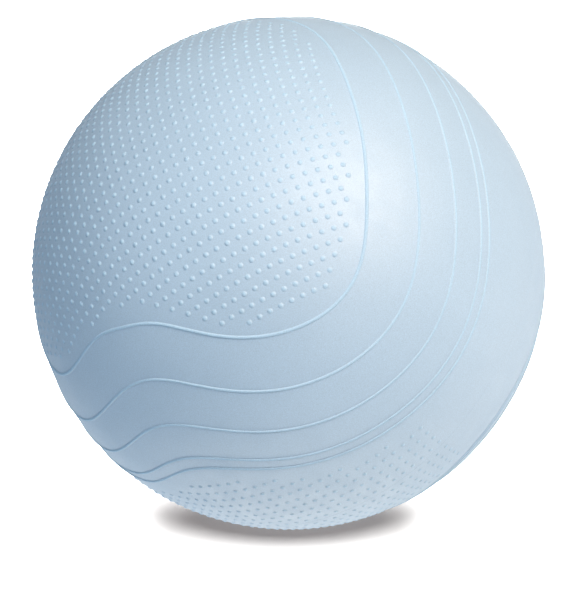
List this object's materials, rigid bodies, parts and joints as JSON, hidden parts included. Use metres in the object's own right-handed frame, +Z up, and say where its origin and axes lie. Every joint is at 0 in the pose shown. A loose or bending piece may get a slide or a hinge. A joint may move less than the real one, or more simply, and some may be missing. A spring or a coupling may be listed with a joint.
{
  "type": "exercise ball",
  "caption": "Inflated exercise ball with raised wavy ridges and dotted grip fields, a bonded valve seat and a push-in valve plug.",
  "frame": {"origin": "middle of the flat patch that the ball stands on, at the bottom centre of its box", "axes": "+Z up from the floor; -Y faces a viewer of the ridged and dotted side; the valve points to +X, +Y and down"},
  "size_m": [0.6499, 0.6498, 0.6482],
  "materials": {
    "skin": "satin soft PVC, pale blue",
    "seat": "satin soft PVC, pale blue",
    "plug": "satin polythene, off-white"
  },
  "bodies": {
    "ball": {"ball_skin": "skin", "valve_seat": "seat"},
    "plug": {"valve_plug": "plug"}
  },
  "joints": [
    {"name": "plug_pull", "type": "slide", "parent": "ball", "child": "plug", "axis": [0.6124, 0.6124, -0.5], "range_m": [0, 0.026]}
  ]
}
